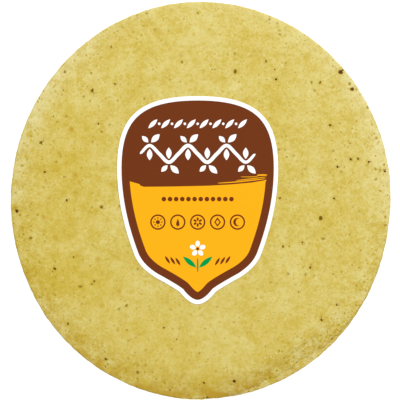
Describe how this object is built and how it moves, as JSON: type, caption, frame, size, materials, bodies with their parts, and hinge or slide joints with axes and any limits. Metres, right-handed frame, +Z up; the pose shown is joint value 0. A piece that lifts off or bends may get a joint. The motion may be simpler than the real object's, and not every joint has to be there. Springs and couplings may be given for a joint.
{
  "type": "corn tortilla stack",
  "caption": "Round stack of soft yellow corn tortillas with drooping rims and a shield-shaped paper label lying on the top one.",
  "frame": {"origin": "middle of the stack's box, on the surface it rests on", "axes": "+Z up through the pile, +Y from the label's tip towards its broad head, +X to the right seen from above"},
  "size_m": [0.1478, 0.1542, 0.0269],
  "materials": {
    "corn_dough": "matte baked dough, fine grain with dark husk flecks",
    "label_paper": "smooth printed paper"
  },
  "bodies": {
    "root": {"tortilla_01": "corn_dough", "tortilla_02": "corn_dough", "tortilla_03": "corn_dough", "tortilla_04": "corn_dough", "tortilla_05": "corn_dough", "tortilla_06": "corn_dough", "tortilla_07": "corn_dough", "tortilla_08": "corn_dough", "tortilla_09": "corn_dough", "tortilla_10": "corn_dough", "tortilla_11": "corn_dough", "tortilla_12": "corn_dough", "label": "label_paper"}
  },
  "joints": []
}
